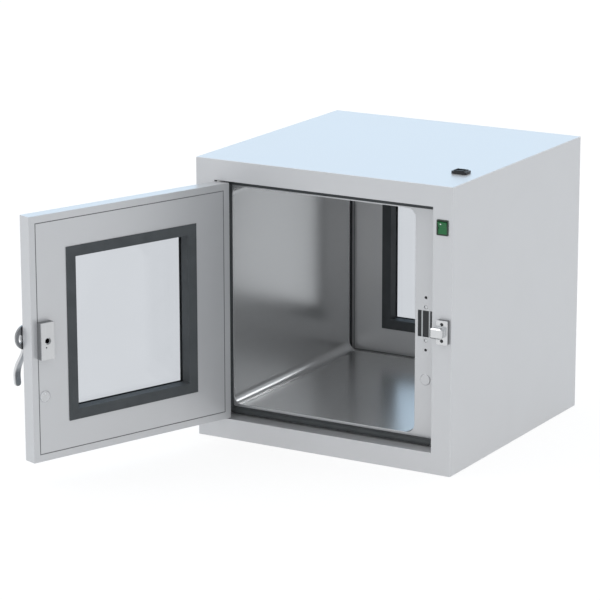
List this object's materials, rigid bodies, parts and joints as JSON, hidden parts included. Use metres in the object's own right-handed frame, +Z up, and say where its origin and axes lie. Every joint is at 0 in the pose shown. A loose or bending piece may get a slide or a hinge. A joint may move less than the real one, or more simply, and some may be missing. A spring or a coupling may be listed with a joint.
{
  "type": "cleanroom pass box",
  "caption": "Cubic sheet-steel transfer cabinet with a coved chamber right through it and an inset glazed door at each end, held by electromagnets and lever latches.",
  "frame": {"origin": "middle of the cabinet's underside", "axes": "+X along the front from the hinge side to the lock side, +Y from the front to the rear, +Z up"},
  "size_m": [0.7584, 1.0978, 0.6075],
  "materials": {
    "armature_dark": "dark grey",
    "armature_steel": "ground",
    "bush_acetal": "turned acetal",
    "cabinet_paint": "light grey powder coat",
    "cam_steel": "satin",
    "chamber_steel": "satin stainless",
    "core_steel": "ground laminations",
    "dark_block": "dark grey",
    "dark_screw": "black oxide",
    "door_foam": "rigid foam",
    "door_paint": "light grey powder coat",
    "enclosure_paint": "dark grey",
    "fastener_steel": "zinc plated",
    "housing_aluminium": "anodised",
    "inlet_black": "moulded",
    "latch_dark": "dark grey",
    "lever_steel": "satin",
    "pin_brass": "plated",
    "seal_rubber": "matte",
    "sensor_disc": "satin",
    "slot_resin": "cast resin",
    "strike_steel": "satin",
    "switch_black": "moulded",
    "switch_green": "moulded",
    "window_bedding": "matte",
    "window_glass": "clear float glass",
    "window_rubber": "matte"
  },
  "bodies": {
    "cabinet": {"casing_top": "cabinet_paint", "casing_base": "cabinet_paint", "casing_left_side": "cabinet_paint", "casing_right_side": "cabinet_paint", "front_frame": "cabinet_paint", "rear_frame": "cabinet_paint", "front_seal_flange": "cabinet_paint", "rear_seal_flange": "cabinet_paint", "chamber_liner": "chamber_steel", "front_door_seal": "seal_rubber", "rear_door_seal": "seal_rubber", "front_hinge_pins": "fastener_steel", "rear_hinge_pins": "fastener_steel", "front_magnet_core": "core_steel", "rear_magnet_core": "core_steel", "magnet_slot_resin": "slot_resin", "front_magnet_housing": "housing_aluminium", "rear_magnet_housing": "housing_aluminium", "magnet_screws": "fastener_steel", "door_sensors": "sensor_disc", "front_strike": "strike_steel", "rear_strike": "strike_steel", "strike_spacers": "dark_block", "strike_screws": "dark_screw", "switch_body": "switch_black", "inlet_body": "inlet_black", "inlet_pins": "pin_brass", "control_enclosure": "enclosure_paint"},
    "front_door": {"front_door_tray": "door_paint", "front_door_inner_panel": "door_paint", "front_door_core": "door_foam", "front_window_frame": "window_rubber", "front_window_glass": "window_glass", "front_window_seal": "window_bedding", "front_armature_plate": "armature_steel", "front_armature_base": "armature_dark", "front_armature_bolt": "fastener_steel", "front_sensor_magnet": "sensor_disc", "front_hinge_bushes": "bush_acetal", "front_latch_base": "latch_dark", "front_latch_screws": "fastener_steel"},
    "front_lever": {"front_latch_lever": "lever_steel", "front_latch_cam": "cam_steel"},
    "rear_door": {"rear_door_tray": "door_paint", "rear_door_inner_panel": "door_paint", "rear_door_core": "door_foam", "rear_window_frame": "window_rubber", "rear_window_glass": "window_glass", "rear_window_seal": "window_bedding", "rear_armature_plate": "armature_steel", "rear_armature_base": "armature_dark", "rear_armature_bolt": "fastener_steel", "rear_sensor_magnet": "sensor_disc", "rear_hinge_bushes": "bush_acetal", "rear_latch_base": "latch_dark", "rear_latch_screws": "fastener_steel"},
    "rear_lever": {"rear_latch_lever": "lever_steel", "rear_latch_cam": "cam_steel"},
    "rocker": {"switch_rocker": "switch_green"}
  },
  "joints": [
    {"name": "front_door_hinge", "type": "hinge", "parent": "cabinet", "child": "front_door", "pos_m": [-0.247, -0.29, 0.3], "axis": [0, 0, 1], "range_deg": [0, 110.2]},
    {"name": "rear_door_hinge", "type": "hinge", "parent": "cabinet", "child": "rear_door", "pos_m": [-0.247, 0.29, 0.3], "axis": [0, 0, 1], "range_deg": [0, 110]},
    {"name": "front_lever_turn", "type": "hinge", "parent": "front_door", "child": "front_lever", "pos_m": [-0.4265, -0.74021, 0.299], "axis": [0.9385, -0.3453, 0], "range_deg": [0, 90]},
    {"name": "rear_lever_turn", "type": "hinge", "parent": "rear_door", "child": "rear_lever", "pos_m": [0.2375, 0.303, 0.299], "axis": [0, 1, 0], "range_deg": [0, 90]},
    {"name": "power_switch_tilt", "type": "hinge", "parent": "cabinet", "child": "rocker", "pos_m": [0.278, -0.292, 0.516], "axis": [1, 0, 0], "range_deg": [-16, 0]}
  ]
}
